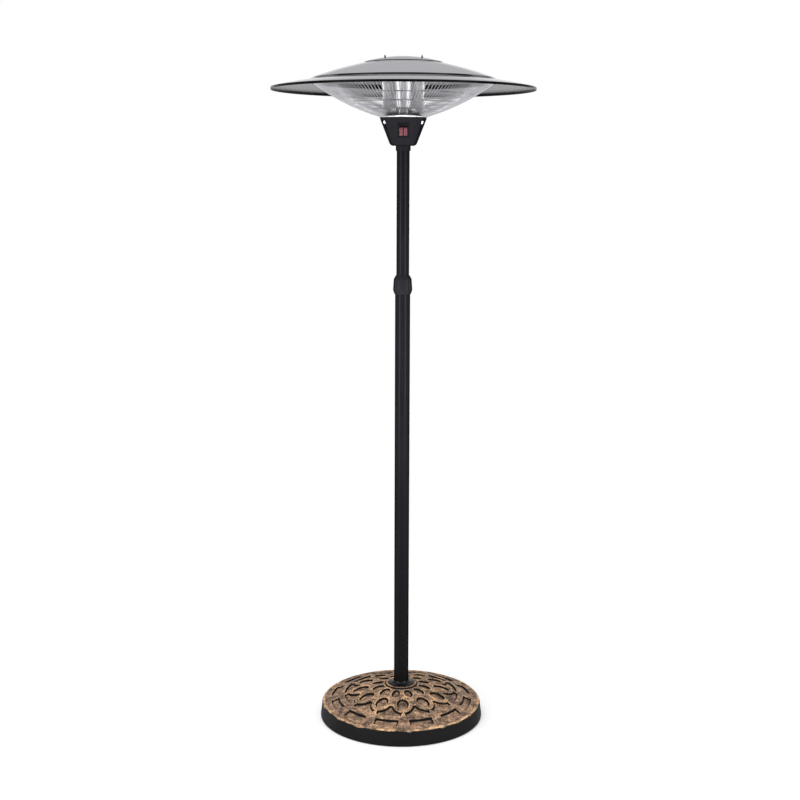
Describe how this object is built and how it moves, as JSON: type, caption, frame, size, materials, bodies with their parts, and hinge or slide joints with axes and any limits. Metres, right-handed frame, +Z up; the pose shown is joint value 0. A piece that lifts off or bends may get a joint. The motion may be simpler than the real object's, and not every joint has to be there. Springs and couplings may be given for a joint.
{
  "type": "umbrella patio heater",
  "caption": "Free-standing electric patio heater: a wide spun shade over a wire-guarded lamp column, on a telescopic pole with a twist lock and a heavy round base with relief ornament.",
  "frame": {"origin": "on the floor, under the pole's axis", "axes": "+Z up along the pole, front with the switch towards -Y, +X to the right of the heater as seen from behind it"},
  "size_m": [0.65, 0.65, 1.6961],
  "materials": {
    "cast_base": "satin",
    "foot_rubber": "matte",
    "black_tube": "gloss",
    "black_plastic": "satin",
    "zinc_steel": "satin",
    "bright_steel": "polished",
    "guard_steel": "satin",
    "spun_aluminium": "satin",
    "mirror_aluminium": "polished",
    "die_cast_black": "satin",
    "red_rocker": "gloss",
    "quartz": "gloss",
    "tungsten": "matte",
    "white_ceramic": "matte",
    "brass_tabs": "satin",
    "seal_rubber": "matte",
    "lead_silicone": "satin"
  },
  "bodies": {
    "stand": {"base_casting": "cast_base", "base_feet": "foot_rubber", "base_flange": "black_plastic", "base_bolt": "zinc_steel", "base_washer": "zinc_steel", "tube_foot_plug": "zinc_steel", "lower_tube": "black_tube", "clamp_sleeve": "black_plastic"},
    "lock_collar": {"lock_collar": "black_plastic"},
    "slider": {"guide_bush": "black_plastic"},
    "rocker_left": {"rocker_left": "red_rocker"},
    "rocker_right": {"rocker_right": "red_rocker"},
    "mast": {"canopy_spacers": "zinc_steel", "canopy_studs": "zinc_steel", "column_top_plate": "zinc_steel", "deck_grommet": "seal_rubber", "gland_body": "black_plastic", "gland_cap": "black_plastic", "gland_locknut": "black_plastic", "guard_grille": "guard_steel", "guard_ring_lower": "guard_steel", "guard_ring_middle": "guard_steel", "guard_ring_upper": "guard_steel", "housing_gasket": "seal_rubber", "housing_screws": "bright_steel", "lamp_caps_1": "white_ceramic", "lamp_caps_2": "white_ceramic", "lamp_caps_3": "white_ceramic", "lamp_caps_4": "white_ceramic", "lamp_deck": "zinc_steel", "lamp_filament_1": "tungsten", "lamp_filament_2": "tungsten", "lamp_filament_3": "tungsten", "lamp_filament_4": "tungsten", "lamp_quartz_1": "quartz", "lamp_quartz_2": "quartz", "lamp_quartz_3": "quartz", "lamp_quartz_4": "quartz", "lamp_reflector_1": "mirror_aluminium", "lamp_reflector_2": "mirror_aluminium", "lamp_reflector_3": "mirror_aluminium", "lamp_reflector_4": "mirror_aluminium", "lead_bundle": "lead_silicone", "lower_lamp_holders": "white_ceramic", "pole_socket": "die_cast_black", "rocker_pin": "zinc_steel", "shade": "spun_aluminium", "socket_grub": "zinc_steel", "socket_screws": "zinc_steel", "switch_frame": "black_plastic", "switch_housing": "black_plastic", "switch_tabs": "brass_tabs", "terminal_block": "white_ceramic", "tilt_switch": "zinc_steel", "trim_ring": "bright_steel", "upper_lamp_holders": "white_ceramic", "upper_tube": "black_tube"}
  },
  "joints": [
    {"name": "mast_height", "type": "slide", "parent": "stand", "child": "slider", "axis": [0, 0, 1], "range_m": [-0.3, 0.41]},
    {"name": "mast_swivel", "type": "hinge", "parent": "slider", "child": "mast", "pos_m": [0, 0, 0.599], "axis": [0, 0, 1], "continuous": true},
    {"name": "collar_twist", "type": "hinge", "parent": "stand", "child": "lock_collar", "pos_m": [0, 0, 1.138], "axis": [0, 0, 1], "range_deg": [0, 90]},
    {"name": "rocker_left_tip", "type": "hinge", "parent": "mast", "child": "rocker_left", "pos_m": [-0.0053, -0.04654, 1.517], "axis": [-1, 0, 0], "range_deg": [0, 20]},
    {"name": "rocker_right_tip", "type": "hinge", "parent": "mast", "child": "rocker_right", "pos_m": [0.0053, -0.04654, 1.517], "axis": [-1, 0, 0], "range_deg": [0, 20]}
  ]
}
